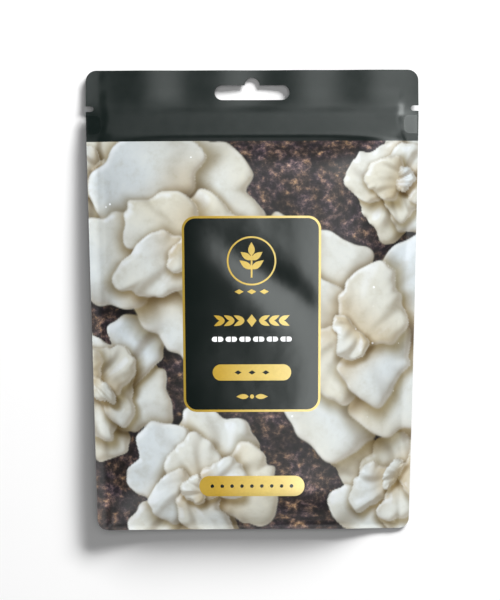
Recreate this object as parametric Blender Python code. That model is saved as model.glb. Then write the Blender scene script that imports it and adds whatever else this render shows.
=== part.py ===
"""A sealed retail pouch of capsules, with a hang hole, tear notches and a press-to-close zip.

The pouch lies on its back: +X is its width, +Y runs up to the header, +Z is up, and z = 0 is
what it lies on. The origin is under the middle of its outline. Sizes are in metres.
"""

import math
import random

import bpy
from mathutils.geometry import delaunay_2d_cdt

# The outline, seen from above.
HEIGHT = 0.193
HEADER_HALF_WIDTH = 0.070
BOTTOM_HALF_WIDTH = 0.0652
CORNER_RADIUS = 0.0045
TOP = HEIGHT / 2
BOTTOM = -HEIGHT / 2

# The hang hole is a slot with a round crown in the middle of its upper edge.
SLOT_LENGTH = 0.0315
SLOT_WIDTH = 0.0063
SLOT_Y = TOP - 0.0095
CROWN_RADIUS = 0.00315
END_STEPS = 6
CROWN_STEPS = 8

# A tear notch is cut into each side, just above the zip.
NOTCH_Y = TOP - 0.0163
NOTCH_WIDTH = 0.0023
NOTCH_DEPTH = 0.0033
NOTCH_STEPS = 4

# The two films, and where they are sealed to each other.
FILM = 0.00035
SEAL_GAP = 0.0003
SIDE_SEAL = 0.0054
BOTTOM_SEAL = 0.0025

# The zip lies in a ridge across both films.
ZIP_TOP = TOP - 0.0192
ZIP_BOTTOM = TOP - 0.0270
ZIP_Y = (ZIP_TOP + ZIP_BOTTOM) / 2
ZIP_RAMP = 0.0013
ZIP_SWELL = 0.0011
ZIP_CRUSHED_SWELL = 0.0003
TRACK_HALF_LENGTH = 0.0600
TRACK_HALF_WIDTH = 0.0030
TRACK_FLANGE = 0.0003

# The printed picture covers the front below this line.
PRINT_TOP = TOP - 0.0302

# How high the seams are held above the surface, how far the header bows down towards it, with
# its middle a little lower still, and how thick the full pouch is.
SEAM_AT_ENDS = 0.0032
SEAM_RISE = 0.0028
HEADER_BOW = 0.0016
HEADER_SAG = 0.0006
SAG_REACH = 0.045
THICKNESS = 0.0168

# The foot is twisted: its left corner stands up, and its right corner lies nearly flat.
FOOT_LIFT = 0.0036
FOOT_DIP = 0.0025
DIP_FROM_X = 0.036
DIP_TO_X = 0.056
TWIST_FROM_Y = -0.010

# The front film rises over the filling between these two lines, and falls away beyond them.
FULL_FROM_Y = -0.069
FULL_TO_Y = 0.042
FRONT_SIDE_POWER = 4.6
FRONT_END_POWER = 2.6

# The back film lies flat on the surface inside this share of its width and between these lines.
FLAT_SHARE = 0.80
FLAT_FROM_Y = -0.082
FLAT_TO_Y = 0.048
BACK_POWER = 1.8

# The header is slightly wavy from side to side.
WAVE_HEIGHT = 0.00035
WAVE_LENGTH = 0.0325
WAVE_CREST_X = -0.0454

# Two-piece capsules of size 0.
CAPSULE_COUNT = 120
CAPSULE_LENGTH = 0.0217
CAPSULE_RADIUS = 0.0038
CAPSULE_SIDES = 8
CAPSULE_PITCH = 0.0074
CAPSULE_SLIP = 0.0006
MOST_EACH_SIDE = 9
ROW_PITCH = CAPSULE_LENGTH + 2 * CAPSULE_SLIP + 0.0003
ROWS_PER_LAYER = 6
FIRST_ROW_Y = -0.0680
CLEARANCE = 0.0003
SEED = 12

# At a capsule's side, the share of its radius that is kept clear above and below it.
SIDE_ROOM = 0.4

# How finely the films are divided, and from which angle an edge is sharp.
CELL = 0.0062
EDGE_STEP = 0.0062
ARC_STEPS = 5
LEAST_SPACING = 0.0011
OUTER_COLUMNS = (0.36, 0.7, 1.0)
SHARP_FROM = 35

# Points nearer than this are one, and a height that differs by less than this is the same.
SAME_POINT = 1e-7
SAME_HEIGHT = 1e-6


def clear_scene():
    for obj in list(bpy.data.objects):
        bpy.data.objects.remove(obj)


def material(name, colour, roughness, metallic=0.0):
    made = bpy.data.materials.new(name)
    made.use_nodes = True
    shader = made.node_tree.nodes["Principled BSDF"]
    shader.inputs["Base Color"].default_value = (*colour, 1.0)
    shader.inputs["Roughness"].default_value = roughness
    shader.inputs["Metallic"].default_value = metallic
    return made


def half_width(y):
    """Straight sides in the header, then drawn in evenly down to the bottom edge."""
    share = max(0.0, (NOTCH_Y - y) / (NOTCH_Y - BOTTOM))
    return HEADER_HALF_WIDTH + (BOTTOM_HALF_WIDTH - HEADER_HALF_WIDTH) * share


def falling(share, power):
    """1 at share 0, falling to 0 at share 1, steepest at the end."""
    return 1.0 - min(1.0, max(0.0, share)) ** power


def smooth_step(share):
    share = min(1.0, max(0.0, share))
    return share * share * (3.0 - 2.0 * share)


def foot_twist(x, y):
    """How far the seam is lifted at the foot's left corner, or lowered at its right corner."""
    lift = FOOT_LIFT * max(0.0, -x / BOTTOM_HALF_WIDTH) ** 3
    dip = FOOT_DIP * smooth_step((x - DIP_FROM_X) / (DIP_TO_X - DIP_FROM_X))
    return (lift - dip) * smooth_step((TWIST_FROM_Y - y) / (TWIST_FROM_Y - BOTTOM))


def seam_height(x, y):
    """Height of the middle of the seal, where the two films meet. The header bows down."""
    held = SEAM_AT_ENDS + SEAM_RISE * math.sin(math.pi * (TOP - y) / HEIGHT)
    bow = HEADER_BOW * smooth_step((y - PRINT_TOP) / (SLOT_Y - PRINT_TOP))
    in_header = smooth_step((y - ZIP_TOP - ZIP_RAMP) / (SLOT_Y - ZIP_TOP - ZIP_RAMP))
    wave = WAVE_HEIGHT * math.cos(2 * math.pi * (x - WAVE_CREST_X) / WAVE_LENGTH)
    sag = HEADER_SAG * (1.0 - smooth_step(abs(x) / SAG_REACH))
    return held - bow + (wave - sag) * in_header + foot_twist(x, y)


def zip_swell(x, y):
    """How far each film stands off the seam over the zip."""
    off_middle = abs(y - ZIP_Y) - (ZIP_TOP - ZIP_BOTTOM) / 2
    across = 1.0 - smooth_step(off_middle / ZIP_RAMP)
    inside = smooth_step((half_width(y) - SIDE_SEAL - abs(x)) / (2 * ZIP_RAMP))
    return across * (ZIP_CRUSHED_SWELL + (ZIP_SWELL - ZIP_CRUSHED_SWELL) * inside)


def pocket_share(x, y):
    """0 on the pouch's middle line, 1 where the side seal begins."""
    return min(1.0, abs(x) / (half_width(y) - SIDE_SEAL))


def end_share(y, low, high):
    """0 between low and high, growing to 1 at the bottom seal and at the zip's lower edge."""
    if y < low:
        return min(1.0, (low - y) / (low - BOTTOM - BOTTOM_SEAL))
    return min(1.0, max(0.0, (y - high) / (ZIP_BOTTOM - high)))


def front_top(x, y):
    """Upper side of the front film."""
    seam = seam_height(x, y) + SEAL_GAP / 2 + FILM
    sides = falling(pocket_share(x, y), FRONT_SIDE_POWER)
    ends = falling(end_share(y, FULL_FROM_Y, FULL_TO_Y), FRONT_END_POWER)
    return seam + max((THICKNESS - seam) * sides * ends, zip_swell(x, y))


def back_bottom(x, y):
    """Under side of the back film, which is flat at z = 0 under the filling."""
    seam = seam_height(x, y) - SEAL_GAP / 2 - FILM
    beyond = (pocket_share(x, y) - FLAT_SHARE) / (1.0 - FLAT_SHARE)
    sides = falling(beyond, BACK_POWER)
    ends = falling(end_share(y, FLAT_FROM_Y, FLAT_TO_Y), BACK_POWER)
    return seam - max(seam * sides * ends, zip_swell(x, y))


def arc(centre, radius, start, end, steps):
    """Points along an arc, angles in degrees, both ends included."""
    points = []
    for i in range(steps + 1):
        angle = math.radians(start + (end - start) * i / steps)
        points.append((centre[0] + radius * math.cos(angle), centre[1] + radius * math.sin(angle)))
    return points


def along(start, end, step):
    """Points between start and end, both left out."""
    count = max(1, round(math.dist(start, end) / step))
    return [
        (start[0] + (end[0] - start[0]) * i / count, start[1] + (end[1] - start[1]) * i / count)
        for i in range(1, count)
    ]


def notch(side):
    """The right (side 1) or left (side -1) tear notch, from its lower lip to its upper lip."""
    radius = NOTCH_WIDTH / 2
    root = (HEADER_HALF_WIDTH - NOTCH_DEPTH + radius, NOTCH_Y)
    points = [(half_width(NOTCH_Y - radius), NOTCH_Y - radius)]
    points += arc(root, radius, 270, 90, NOTCH_STEPS)
    points += [(HEADER_HALF_WIDTH, NOTCH_Y + radius)]
    return [(side * x, y) for x, y in points]


def outline():
    """The pouch's edge, counterclockwise, with round corners and tear notches."""
    r = CORNER_RADIUS
    low_x = half_width(BOTTOM + r) - r
    top_x = HEADER_HALF_WIDTH - r
    right = arc((low_x, BOTTOM + r), r, 270, 360, ARC_STEPS)
    print_end = (half_width(PRINT_TOP), PRINT_TOP)
    right += along(right[-1], print_end, EDGE_STEP) + [print_end]
    right += along(print_end, notch(1)[0], EDGE_STEP) + notch(1)
    upper_corner = arc((top_x, TOP - r), r, 0, 90, ARC_STEPS)
    right += along(right[-1], upper_corner[0], EDGE_STEP) + upper_corner
    left = [(-x, y) for x, y in reversed(right)]
    top_edge = along(right[-1], left[0], EDGE_STEP)
    bottom_edge = along(left[-1], right[0], EDGE_STEP)
    return right + top_edge + left + bottom_edge


def hang_hole():
    """The hang hole's edge, counterclockwise."""
    end_x = (SLOT_LENGTH - SLOT_WIDTH) / 2
    upper = SLOT_Y + SLOT_WIDTH / 2
    right_end = arc((end_x, SLOT_Y), SLOT_WIDTH / 2, -90, 90, END_STEPS)
    crown = arc((0.0, upper), CROWN_RADIUS, 0, 180, CROWN_STEPS)
    left_end = arc((-end_x, SLOT_Y), SLOT_WIDTH / 2, 90, 270, END_STEPS)
    upper_right = along(right_end[-1], crown[0], EDGE_STEP)
    upper_left = along(crown[-1], left_end[0], EDGE_STEP)
    lower = along(left_end[-1], right_end[0], EDGE_STEP)
    return right_end + upper_right + crown + upper_left + left_end + lower


def inside(point, loop):
    """True if the point lies inside the closed loop."""
    x, y = point
    found = False
    for (ax, ay), (bx, by) in zip(loop, loop[1:] + loop[:1]):
        if (ay > y) != (by > y) and x < ax + (bx - ax) * (y - ay) / (by - ay):
            found = not found
    return found


def edge_distance(point, loop):
    """Distance from the point to the nearest edge of the loop."""
    x, y = point
    nearest = HEIGHT
    for (ax, ay), (bx, by) in zip(loop, loop[1:] + loop[:1]):
        dx, dy = bx - ax, by - ay
        share = ((x - ax) * dx + (y - ay) * dy) / (dx * dx + dy * dy)
        share = min(1.0, max(0.0, share))
        nearest = min(nearest, math.hypot(x - ax - share * dx, y - ay - share * dy))
    return nearest


def spread(start, end, step):
    """Evenly spaced values from start to end, both included, about a step apart."""
    count = max(1, round(abs(end - start) / step))
    return [start + (end - start) * i / count for i in range(count + 1)]


def film_rows():
    """The lines across the pouch that its films are divided on: at every bend, and between."""
    bends = [
        BOTTOM + BOTTOM_SEAL,
        FLAT_FROM_Y,
        FULL_FROM_Y,
        FULL_TO_Y,
        PRINT_TOP,
        ZIP_BOTTOM - ZIP_RAMP,
        ZIP_BOTTOM,
        ZIP_TOP,
        ZIP_TOP + ZIP_RAMP,
        TOP - CORNER_RADIUS,
    ]
    rows = []
    for low, high in zip(bends, bends[1:]):
        rows += spread(low, high, CELL)[:-1]
    return rows + [bends[-1]]


def film_columns(y):
    """Where the films are divided across the pouch at height y, closer at the side seals."""
    pocket = half_width(y) - SIDE_SEAL
    flat = pocket * FLAT_SHARE
    outer = [flat + (pocket - flat) * share for share in OUTER_COLUMNS]
    inner = spread(-flat, flat, CELL)
    return [-x for x in reversed(outer)] + inner + outer


def film_plan():
    """Points and triangles of a film laid flat, with the hang hole and notches cut out."""
    edge, hole = outline(), hang_hole()
    points = edge + hole
    rim = len(edge)
    edges = [(i, (i + 1) % rim) for i in range(rim)]
    edges += [(rim + i, rim + (i + 1) % len(hole)) for i in range(len(hole))]
    for y in film_rows():
        for x in film_columns(y):
            point = (x, y)
            if not inside(point, edge) or inside(point, hole):
                continue
            if min(edge_distance(point, edge), edge_distance(point, hole)) > LEAST_SPACING:
                points.append(point)
    found = delaunay_2d_cdt(points, edges, [], 1, SAME_POINT)
    flat_points = [tuple(p) for p in found[0]]
    triangles = []
    for a, b, c in found[2]:
        corners = [flat_points[i] for i in (a, b, c)]
        middle = (sum(p[0] for p in corners) / 3, sum(p[1] for p in corners) / 3)
        if inside(middle, edge) and not inside(middle, hole):
            triangles.append((a, b, c))
    return flat_points, triangles


def film(name, plan, upper, lower, materials, second_above=None):
    """A sheet between two height functions. Faces above second_above take the second material."""
    flat_points, triangles = plan
    count = len(flat_points)
    points = [(x, y, upper(x, y)) for x, y in flat_points]
    points += [(x, y, lower(x, y)) for x, y in flat_points]
    faces = list(triangles)
    faces += [(c + count, b + count, a + count) for a, b, c in triangles]
    used = {edge for a, b, c in triangles for edge in ((a, b), (b, c), (c, a))}
    for a, b in sorted(used):
        if (b, a) not in used:
            faces.append((a + count, b + count, b, a))
    mesh = bpy.data.meshes.new(name)
    mesh.from_pydata(points, [], faces)
    for one in materials:
        mesh.materials.append(one)
    for polygon in mesh.polygons:
        if second_above is not None and polygon.center.y > second_above:
            polygon.material_index = 1
    mesh.shade_smooth()
    mesh.set_sharp_from_angle(angle=math.radians(SHARP_FROM))
    return add_object(name, mesh)


def add_object(name, mesh):
    obj = bpy.data.objects.new(name, mesh)
    bpy.context.scene.collection.objects.link(obj)
    return obj


def make_films(dark, printed):
    plan = film_plan()
    film(
        "front_film", plan, front_top, lambda x, y: front_top(x, y) - FILM,
        [printed, dark], PRINT_TOP,
    )
    film("back_film", plan, lambda x, y: back_bottom(x, y) + FILM, back_bottom, [dark])


def track(name, profile, finish):
    """A zip track: a closed profile of (y, z) points, drawn straight across the pouch."""
    count = len(profile)
    points = [(-TRACK_HALF_LENGTH, y, z) for y, z in profile]
    points += [(TRACK_HALF_LENGTH, y, z) for y, z in profile]
    faces = [tuple(reversed(range(count))), tuple(range(count, 2 * count))]
    for i in range(count):
        following = (i + 1) % count
        faces.append((i, following, following + count, i + count))
    mesh = bpy.data.meshes.new(name)
    mesh.from_pydata(points, [], faces)
    mesh.materials.append(finish)
    return add_object(name, mesh)


def make_zip(plastic):
    """A ribbed track on the back film, held in a hooked channel on the front film."""
    roof = SEAL_GAP / 2 + ZIP_SWELL - CLEARANCE / 2
    half, flange = TRACK_HALF_WIDTH, TRACK_FLANGE
    stem, head, tip = 0.00030, 0.00062, 0.00045
    rib = [
        (-half, -roof), (half, -roof), (half, flange - roof), (stem, flange - roof),
        (stem, 0.0), (head, 0.0), (stem, tip), (-stem, tip), (-head, 0.0), (-stem, 0.0),
        (-stem, flange - roof), (-half, flange - roof),
    ]
    wall_in, wall_out, lip = 0.00085, 0.00130, 0.00050
    lip_low, lip_high = -0.00045, -0.00020
    channel = [
        (-half, roof - flange), (-wall_out, roof - flange), (-wall_out, lip_low),
        (-lip, lip_low), (-lip, lip_high), (-wall_in, lip_high), (-wall_in, roof - flange),
        (wall_in, roof - flange), (wall_in, lip_high), (lip, lip_high), (lip, lip_low),
        (wall_out, lip_low), (wall_out, roof - flange), (half, roof - flange),
        (half, roof), (-half, roof),
    ]
    for name, profile in (("zip_rib_track", rib), ("zip_channel_track", channel)):
        placed = [(ZIP_Y + y, seam_height(0.0, ZIP_Y + y) + z) for y, z in profile]
        track(name, placed, plastic)


def capsule_mesh(finish):
    """A capsule along +Y about its own centre, with a vertex to each side so that rows join."""
    straight = CAPSULE_LENGTH / 2 - CAPSULE_RADIUS
    bevel = math.sin(math.radians(45))
    rings = [
        (-CAPSULE_LENGTH / 2 + CAPSULE_RADIUS * (1 - bevel), CAPSULE_RADIUS * bevel),
        (-straight, CAPSULE_RADIUS),
        (straight, CAPSULE_RADIUS),
        (CAPSULE_LENGTH / 2 - CAPSULE_RADIUS * (1 - bevel), CAPSULE_RADIUS * bevel),
    ]
    points = [(0.0, -CAPSULE_LENGTH / 2, 0.0)]
    for y, radius in rings:
        for i in range(CAPSULE_SIDES):
            angle = 2 * math.pi * i / CAPSULE_SIDES
            points.append((radius * math.cos(angle), y, -radius * math.sin(angle)))
    points.append((0.0, CAPSULE_LENGTH / 2, 0.0))
    last = len(points) - 1
    faces = []
    for i in range(CAPSULE_SIDES):
        following = (i + 1) % CAPSULE_SIDES
        faces.append((0, 1 + following, 1 + i))
        for ring in range(len(rings) - 1):
            start = 1 + ring * CAPSULE_SIDES
            above = start + CAPSULE_SIDES
            faces.append((start + i, start + following, above + following, above + i))
        top = last - CAPSULE_SIDES
        faces.append((top + i, top + following, last))
    mesh = bpy.data.meshes.new("capsule")
    mesh.from_pydata(points, [], faces)
    mesh.materials.append(finish)
    return mesh


def capsule_sections():
    """Where a capsule is compared with the films: along its length, with its share of the radius."""
    reach = CAPSULE_LENGTH / 2
    shoulder = reach - CAPSULE_RADIUS
    return (-reach, 0.0), (-shoulder, 1.0), (shoulder, 1.0), (reach, 0.0)


def lying_height(y):
    """Height of a capsule's centre when it lies on the back film on the pouch's middle line."""
    lowest = [
        back_bottom(0.0, y + slip + dy) + CAPSULE_RADIUS * share
        for dy, share in capsule_sections()
        for slip in (-CAPSULE_SLIP, CAPSULE_SLIP)
    ]
    return max(lowest) + FILM + CLEARANCE


def fits(x, y, z):
    """True if a capsule centred there clears both films."""
    for dx in (-CAPSULE_RADIUS, 0.0, CAPSULE_RADIUS):
        for dy, share in capsule_sections():
            half = CAPSULE_RADIUS * share * (1.0 if dx == 0.0 else SIDE_ROOM)
            ceiling = front_top(x + dx, y + dy) - FILM - CLEARANCE
            floor = back_bottom(x + dx, y + dy) + FILM + CLEARANCE
            if z + half > ceiling or z - half < floor - SAME_HEIGHT:
                return False
    return True


def capsule_rows():
    """Centres of the capsules, one list a row, filled from the pouch's foot until all are in."""
    apart = 2 * CAPSULE_RADIUS + CLEARANCE
    rise = math.sqrt(apart ** 2 - (CAPSULE_PITCH / 2) ** 2)
    draw = random.Random(SEED)
    left = CAPSULE_COUNT
    rows = {}
    for number in range(ROWS_PER_LAYER):
        y = FIRST_ROW_Y + number * ROW_PITCH
        low_z = lying_height(y)
        for layer, z, offset in (
            ("low", low_z, 0.0),
            ("high", low_z + rise, CAPSULE_PITCH / 2),
        ):
            centres = []
            for place in sorted(range(-MOST_EACH_SIDE, MOST_EACH_SIDE), key=abs):
                x = place * CAPSULE_PITCH + offset
                if left and fits(x, y - CAPSULE_SLIP, z) and fits(x, y + CAPSULE_SLIP, z):
                    centres.append((x, y + draw.uniform(-CAPSULE_SLIP, CAPSULE_SLIP), z))
                    left -= 1
            rows[f"capsules_{layer}_{number + 1}"] = centres
    return rows, left


def fuse(name, mesh, centres):
    """One object for a row of capsules, each joined to the next where they touch."""
    base = add_object(name, mesh.copy())
    base.location = centres[0]
    others = bpy.data.collections.new(name + "_others")
    bpy.context.scene.collection.children.link(others)
    for number, centre in enumerate(centres[1:]):
        other = bpy.data.objects.new(f"{name}_{number}", mesh)
        other.location = centre
        others.objects.link(other)
    union = base.modifiers.new("Join", "BOOLEAN")
    union.operation = "UNION"
    union.operand_type = "COLLECTION"
    union.collection = others
    bpy.context.view_layer.update()
    evaluated = base.evaluated_get(bpy.context.evaluated_depsgraph_get())
    joined = bpy.data.meshes.new_from_object(evaluated)
    base.modifiers.clear()
    base.data = joined
    for other in list(others.objects):
        bpy.data.objects.remove(other)
    bpy.data.collections.remove(others)
    return base


def make_capsules(shell):
    mesh = capsule_mesh(shell)
    rows, left = capsule_rows()
    if left:
        raise ValueError(f"{left} capsules don't fit under the film")
    for name, centres in rows.items():
        if centres:
            fuse(name, mesh, centres)


def main():
    clear_scene()
    dark = material("dark film", (0.030, 0.036, 0.035), 0.42)
    printed = material("printed film", (0.55, 0.50, 0.42), 0.38)
    plastic = material("zip plastic", (0.80, 0.80, 0.78), 0.45)
    shell = material("capsule shell", (0.82, 0.76, 0.62), 0.30)
    make_films(dark, printed)
    make_zip(plastic)
    make_capsules(shell)


main()
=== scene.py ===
"""Dresses the capsule pouch: its printed front, dark header and back, and the light it lies in.

The pouch lies on its back as in the frame, seen from straight above: +X is its width and +Y
runs up to the header. Sizes are in metres.
"""

import math
from collections import namedtuple

import bpy
import numpy as np
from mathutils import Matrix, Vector
from mathutils.geometry import delaunay_2d_cdt
from mathutils.kdtree import KDTree


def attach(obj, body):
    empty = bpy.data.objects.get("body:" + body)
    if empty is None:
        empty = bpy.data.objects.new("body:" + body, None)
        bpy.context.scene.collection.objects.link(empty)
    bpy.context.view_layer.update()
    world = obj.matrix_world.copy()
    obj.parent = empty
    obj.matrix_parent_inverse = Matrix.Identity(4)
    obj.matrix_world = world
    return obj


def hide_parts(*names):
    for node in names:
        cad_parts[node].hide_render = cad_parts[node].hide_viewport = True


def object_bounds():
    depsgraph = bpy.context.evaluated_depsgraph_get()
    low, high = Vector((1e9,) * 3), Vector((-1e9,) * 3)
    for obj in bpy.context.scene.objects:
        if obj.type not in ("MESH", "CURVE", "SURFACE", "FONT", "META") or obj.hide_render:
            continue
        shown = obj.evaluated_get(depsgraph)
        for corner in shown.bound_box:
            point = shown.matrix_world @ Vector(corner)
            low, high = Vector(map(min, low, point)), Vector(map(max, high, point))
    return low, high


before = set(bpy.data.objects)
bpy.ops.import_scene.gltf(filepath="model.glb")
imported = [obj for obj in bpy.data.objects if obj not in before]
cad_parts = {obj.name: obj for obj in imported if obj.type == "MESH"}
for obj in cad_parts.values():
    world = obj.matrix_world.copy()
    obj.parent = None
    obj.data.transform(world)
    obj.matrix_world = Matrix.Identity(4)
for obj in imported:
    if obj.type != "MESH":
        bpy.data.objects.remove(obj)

CAD_LOW, CAD_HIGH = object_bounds()
SEED = 7

# The outline, seen from above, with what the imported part's own box gives.
HEIGHT = CAD_HIGH.y - CAD_LOW.y
TOP, BOTTOM = CAD_HIGH.y, CAD_LOW.y
HEADER_HALF_WIDTH = CAD_HIGH.x
BOTTOM_HALF_WIDTH = 0.0652
CORNER_RADIUS = 0.0045
THICKNESS = CAD_HIGH.z

# The hang hole, the tear notches and the zip, down from the top edge.
SLOT_LENGTH, SLOT_WIDTH = 0.0315, 0.0063
SLOT_Y = TOP - 0.0095
CROWN_RADIUS = 0.00315
NOTCH_Y = TOP - 0.0163
NOTCH_WIDTH, NOTCH_DEPTH = 0.0023, 0.0033
ZIP_TOP, ZIP_BOTTOM = TOP - 0.0192, TOP - 0.0270
ZIP_Y = (ZIP_TOP + ZIP_BOTTOM) / 2
ZIP_FLAT = 0.0062
ZIP_RAMP_ABOVE, ZIP_RAMP_BELOW = 0.0060, 0.0040
ZIP_SWELL = 0.0009
BACK_ZIP_SHARE = 1.2
PRINT_TOP = TOP - 0.0302

# The pad at each end of the zip rises from near the edge to a share of the ridge's height, and a
# step leads from it up to the ridge.
PAD_SHARE, PAD_STEP, PAD_FROM_EDGE = 0.72, 0.0024, 0.0008
PAD_WIDTH, PAD_RADIUS, PAD_TO_EDGE = 0.0062, 0.0024, 0.0004

# Seals. Inside the side seals the films part, further and over a wider step in the header.
SIDE_SEAL, BOTTOM_SEAL = 0.0054, 0.0025
PARTED, PARTED_IN_HEADER = 0.00020, 0.00012
PART_WIDTH, PART_WIDTH_IN_HEADER = 0.0009, 0.0027
TOP_SEAL_Y = TOP - 0.0066
HEADER_FADE, TOP_SEAL_FADE = 0.0060, 0.0050
BEAD_HEIGHT, BEAD_REACH, BEAD_FADE, BEAD_TO_PRINT = 0.00020, 0.00080, 0.0030, 0.0004

# The height of the seam where the two films meet.
EDGE_THICKNESS = 0.0005
SEAM_AT_ENDS, SEAM_RISE, HEADER_BOW = 0.0032, 0.0028, 0.0016
HEADER_SAG, SAG_REACH = 0.0006, 0.045
FOOT_LIFT, FOOT_DIP, TWIST_FROM_Y = 0.0036, 0.0025, -0.010
DIP_FROM_X, DIP_TO_X = 0.036, 0.056
WAVE_HEIGHT, WAVE_LENGTH, WAVE_CREST_X = 0.00035, 0.0325, -0.0454

# The swell of the front and the flat of the back, as in the solids.
FULL_FROM_Y, FULL_TO_Y = -0.069, 0.042
FRONT_SIDE_POWER, FRONT_END_POWER = 4.6, 2.6
FLAT_SHARE = 0.80
FLAT_FROM_Y, FLAT_TO_Y = -0.082, 0.048
BACK_POWER = 1.8

# The corner between the swell and the zip's ridge is rounded off, less beside the side seals.
DOME_BLEND, BLEND_CUT, CUT_REACH = 0.0022, 0.75, 0.0060
CUT_FROM_Y, CUT_FADE = PRINT_TOP - 0.0030, 0.0040

# Waves along the edges: wavelengths, phases, height, how far in they reach and where they start.
SIDE_PUCKERS = ((0.0127, 0.0193, 0.0310), (0.4, 2.1, 4.0), 0.00020, 0.011, 0.003)
FOOT_HEMS = ((0.0141, 0.0223, 0.0353), (1.0, 3.3, 5.1), 0.00018, 0.012, 0.003)
HEADER_NECKS = ((0.0178, 0.0287, 0.0467), (2.2, 0.3, 1.4), 0.00022, 0.016, 0.004)
PUCKER_LEAN, RIGHT_SIDE_SHIFT = 0.35, 1.9

# Slow swells over the filling: height, direction, wavelengths and phases.
SLOW_SWELLS = (
    (0.00016, (0.8, 0.6), (0.047, 0.071), (0.6, 2.4)),
    (0.00014, (0.5, -0.87), (0.058, 0.083), (1.1, 4.2)),
)
RELIEF_FADE = 0.012

# A faint hollow across the label's upper half, and a fainter crown below it.
DISH_DEPTH, DISH_WIDTH, DISH_ABOVE, DISH_BELOW = 0.00012, 0.092, 1.6, 0.6
DISH_FROM_Y, DISH_FADE = -0.004, 0.028

# One soft fold on the label: a point on it, its direction, ends, depth and breadth.
FOLD_POINT, FOLD_ALONG = (-0.0198, 0.0284), (0.803, -0.596)
FOLD_ENDS, FOLD_FADE = (-0.012, 0.046), 0.022
FOLD_DEPTH, FOLD_DEEPER, FOLD_DEEPER_OVER = 0.00028, 0.00048, 0.040
FOLD_BREADTH = 0.0080

# The label, with its gold border.
LABEL_CENTRE = (-0.0005, -0.0060)
LABEL_SIZE = (0.0573, 0.0813)
LABEL_TAPER = 0.30
LABEL_RADIUS = 0.0056
BORDER = 0.00095

# A power below 1 makes every leaf widest below its middle.
LEAF_POWER = 0.8

# The emblem: a ring, a stem with leaves of (height, length, width), and lozenges below.
EMBLEM_Y = 0.0160
RING_RADIUS, RING_WIDTH = 0.0102, 0.0007
STEM_BELOW, STEM_ABOVE, STEM_WIDTH = 0.0070, 0.0030, 0.0007
TOP_LEAF = (0.0022, 0.0056, 0.0027)
SIDE_LEAVES, LEAF_LEAN = ((0.0004, 0.0056, 0.0026), (-0.0034, 0.0062, 0.0026)), 54
LOZENGE_SIZE, LOZENGE_PITCH, LOZENGE_DROP = (0.0038, 0.0021), 0.0052, 0.0128

# The ornaments below it, down to the spray at the label's foot, and the pill below the label.
CHEVRON_Y, CHEVRON_LOZENGE, CHEVRON_LEAF = -0.0088, (0.0040, 0.0052), (0.0050, 0.0019)
CHEVRON_FIRST, CHEVRON_PITCH, CHEVRON_LEAN = 0.0030, 0.0041, 26
CAPSULES_Y, CAPSULE_COUNT, CAPSULE_PITCH = -0.0165, 6, 0.0057
CAPSULE_LENGTH, CAPSULE_WIDTH, CAPSULE_SLIT = 0.0048, 0.0021, 0.0005
PILL_Y, PILL_SIZE, PILL_RADIUS = -0.0303, (0.0328, 0.0067), 0.0033
PILL_LOZENGE, PILL_PITCH = (0.0030, 0.0018), 0.0058
SPRAY_Y, SPRAY_LEAF, SPRAY_GAP, SPRAY_DOT = -0.0403, (0.0052, 0.0021), 0.0014, 0.0009
LOW_PILL, LOW_PILL_SIZE, LOW_PILL_RADIUS = (-0.0007, -0.0775), (0.0446, 0.0086), 0.0042
DOTS_EACH_SIDE, DOT_PITCH, DOT_RADIUS = 4, 0.0042, 0.0008

# The printed picture: the middle and reach of each cluster of petals, back to front.
ROSETTES = (
    (0.064, 0.050, 0.022), (-0.062, 0.056, 0.024), (-0.064, -0.036, 0.027), (0.060, -0.074, 0.026),
    (-0.022, -0.080, 0.029), (0.040, -0.014, 0.041), (-0.028, 0.020, 0.043),
)

# The rings of petals in a cluster: how far out, how large and how many. Each ring is turned from
# the one before it, and each petal's heading, place and size vary.
PETAL_RINGS = ((0.68, 0.50, 5), (0.36, 0.36, 4), (0.06, 0.19, 1))
RING_TURN = 0.7
HEADING_SPREAD, AWAY_SPREAD = (-0.20, 0.20), (0.85, 1.15)
LENGTH_SPREAD, BREADTH_SPREAD = (0.85, 1.20), (0.90, 1.25)

# A petal, and its margin as turns and depths of waves. Its wobble is the phases of all its waves.
Petal = namedtuple("Petal", "x y heading length breadth wobble tone")
MARGIN_WAVES = ((2, 0.12), (3, 0.09), (5, 0.055), (9, 0.030), (14, 0.014))

# A petal's relief: its body, the hollow at its foot, and folds of (turns, size, phase) that fan
# out from behind the foot. Places and spreads are in shares of its length.
PETAL_BODY, BODY_POWER = 0.0036, 5
PETAL_HOLLOW, HOLLOW_AT, HOLLOW_SPREAD = 0.0020, -0.6, 0.30
PETAL_FOLDS, FAN_FOLDS, FAN_FROM = 0.00085, ((9.0, 1.0, 5), (17.0, 0.5, 4)), -1.5
FOLDS_FROM, FOLDS_OVER = -0.9, 1.3

# How the picture is painted: its light, the step for slopes, the drift of a petal's tone, how far
# out a petal is looked for in shares of its size, and the fade at its margin.
PAINTED_LIGHT, BRIGHTEST = (-0.46, 0.42, 0.78), 1.1
SLOPE_STEP = 0.0003
DRIFT_LENGTHS = (0.011, 0.017)
PETAL_REACH, MARGIN_FADE = 1.8, 0.04

# The stir of all the picture's shapes: the height of its waves, with a length and a phase for
# each coordinate, and the height of finer waves, with two lengths for each coordinate.
STIR, STIR_OF_X, STIR_OF_Y = 0.0018, (0.0071, 1.0), (0.0083, 2.0)
FINE_STIR, FINE_OF_X, FINE_OF_Y = 0.0008, (0.009, 0.0031), (0.0036, -0.011)

# The shadow that a petal casts: its shift, its reach where 1 is the petal's margin, its fade, and
# how much light it takes from the ground.
SHADOW_SHIFT, SHADOW_REACH, SHADOW_FADE, GROUND_SHADE = (-0.0010, 0.0014), 1.40, 0.46, 0.45

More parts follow.
